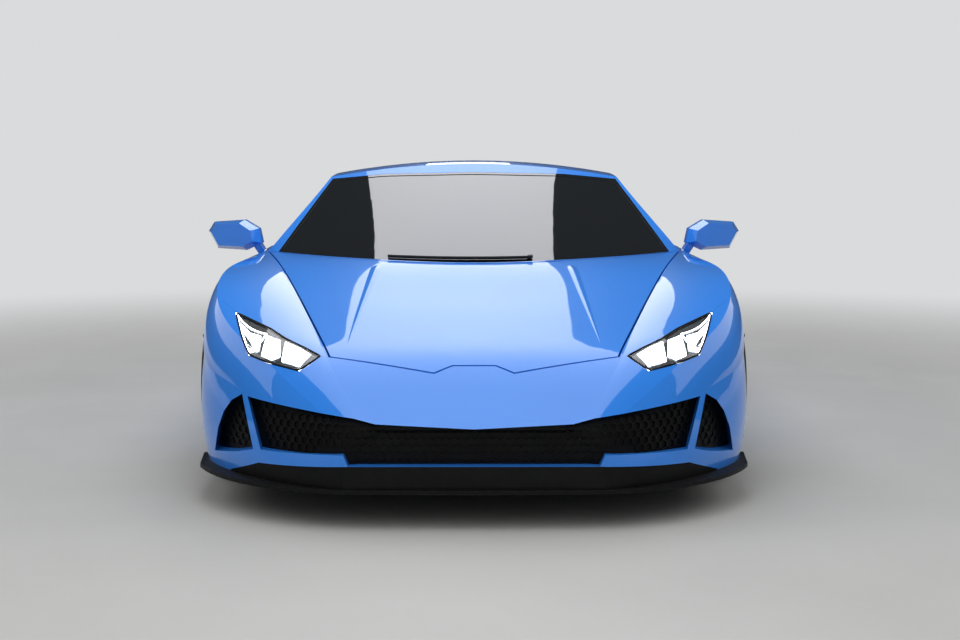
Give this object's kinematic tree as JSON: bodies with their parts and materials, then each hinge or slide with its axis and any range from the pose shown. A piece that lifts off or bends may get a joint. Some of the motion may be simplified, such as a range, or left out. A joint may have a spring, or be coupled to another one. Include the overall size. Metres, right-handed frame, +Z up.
{
  "type": "mid-engined supercar",
  "caption": "Low mid-engined sports car: hollow cabin, opening doors, bonnet and engine cover, steered front wheels that roll.",
  "frame": {"origin": "on the floor, under the middle of the car's length and width", "axes": "+X towards the car's left side, +Y from nose to tail, +Z up"},
  "size_m": [2.22, 4.5198, 1.1659],
  "materials": {
    "blue_paint": "gloss",
    "tyre": "matt",
    "rim": "satin",
    "brake_disc": "ground",
    "cast_metal": "cast",
    "steel": "satin",
    "exhaust": "brushed",
    "engine": "cast",
    "leather": "matt",
    "black_plastic": "matt",
    "black_gloss": "gloss",
    "dark_glass": "tinted",
    "lens": "clear",
    "red_lens": "gloss"
  },
  "bodies": {
    "car": {"arch_liners": "black_plastic", "bulkhead": "black_plastic", "cowl": "black_plastic", "dashboard": "black_plastic", "diffuser": "black_gloss", "engine": "engine", "exhaust": "exhaust", "floor_pan": "black_plastic", "front_bumper": "blue_paint", "headlamps": "lens", "intake_mesh": "black_plastic", "knuckles_rear": "cast_metal", "lamp_housings": "black_gloss", "luggage_tub": "black_plastic", "quarter_left": "blue_paint", "quarter_right": "blue_paint", "rear_bumper": "blue_paint", "rear_window": "dark_glass", "roof": "blue_paint", "seats": "leather", "sills": "blue_paint", "splitter": "black_gloss", "suspension_front": "steel", "suspension_rear": "steel", "tail_lamps": "red_lens", "tail_mesh": "black_plastic", "tail_spoiler": "blue_paint", "windscreen": "dark_glass", "wing_left": "blue_paint", "wing_right": "blue_paint"},
    "front_lid": {"bonnet": "blue_paint"},
    "left_front_wheel": {"disc_front_left": "brake_disc", "rim_front_left": "rim", "tyre_front_left": "tyre"},
    "right_front_wheel": {"disc_front_right": "brake_disc", "rim_front_right": "rim", "tyre_front_right": "tyre"},
    "left_rear_wheel": {"disc_rear_left": "brake_disc", "rim_rear_left": "rim", "tyre_rear_left": "tyre"},
    "right_rear_wheel": {"disc_rear_right": "brake_disc", "rim_rear_right": "rim", "tyre_rear_right": "tyre"},
    "left_door": {"door_glass_left": "dark_glass", "door_left": "blue_paint", "mirror_left": "blue_paint"},
    "right_door": {"door_glass_right": "dark_glass", "door_right": "blue_paint", "mirror_right": "blue_paint"},
    "engine_lid": {"engine_cover": "blue_paint"},
    "left_front_knuckle": {"knuckle_front_left": "cast_metal"},
    "right_front_knuckle": {"knuckle_front_right": "cast_metal"},
    "hand_wheel": {"steering_wheel": "leather"}
  },
  "joints": [
    {"name": "left_door_hinge", "type": "hinge", "parent": "car", "child": "left_door", "pos_m": [0.95, -0.658, 0.5], "axis": [0, 0, -1], "range_deg": [0, 62]},
    {"name": "right_door_hinge", "type": "hinge", "parent": "car", "child": "right_door", "pos_m": [-0.95, -0.658, 0.5], "axis": [0, 0, 1], "range_deg": [0, 62]},
    {"name": "bonnet_hinge", "type": "hinge", "parent": "car", "child": "front_lid", "pos_m": [0, -0.5, 0.84], "axis": [-1, 0, 0], "range_deg": [0, 55]},
    {"name": "engine_cover_hinge", "type": "hinge", "parent": "car", "child": "engine_lid", "pos_m": [0, 0.5375, 1.16], "axis": [1, 0, 0], "range_deg": [0, 50]},
    {"name": "left_steering", "type": "hinge", "parent": "car", "child": "left_front_knuckle", "pos_m": [0.7935, -1.345, 0.3275], "axis": [0, 0, 1], "range_deg": [-30, 30]},
    {"name": "right_steering", "type": "hinge", "parent": "car", "child": "right_front_knuckle", "pos_m": [-0.7935, -1.345, 0.3275], "axis": [0, 0, 1], "range_deg": [-30, 30]},
    {"name": "left_front_wheel_spin", "type": "hinge", "parent": "left_front_knuckle", "child": "left_front_wheel", "pos_m": [0.834, -1.345, 0.3275], "axis": [1, 0, 0], "continuous": true},
    {"name": "left_rear_wheel_spin", "type": "hinge", "parent": "car", "child": "left_rear_wheel", "pos_m": [0.81, 1.275, 0.3455], "axis": [1, 0, 0], "continuous": true},
    {"name": "right_front_wheel_spin", "type": "hinge", "parent": "right_front_knuckle", "child": "right_front_wheel", "pos_m": [-0.834, -1.345, 0.3275], "axis": [1, 0, 0], "continuous": true},
    {"name": "right_rear_wheel_spin", "type": "hinge", "parent": "car", "child": "right_rear_wheel", "pos_m": [-0.81, 1.275, 0.3455], "axis": [1, 0, 0], "continuous": true},
    {"name": "steering_wheel_turn", "type": "hinge", "parent": "car", "child": "hand_wheel", "pos_m": [0.38, -0.325, 0.64], "axis": [0, 0.9272, 0.3746], "range_deg": [-390, 390]}
  ],
  "couplings": [
    {"joint": "right_steering", "follows": "left_steering", "ratio": 1},
    {"joint": "steering_wheel_turn", "follows": "left_steering", "ratio": 13}
  ]
}
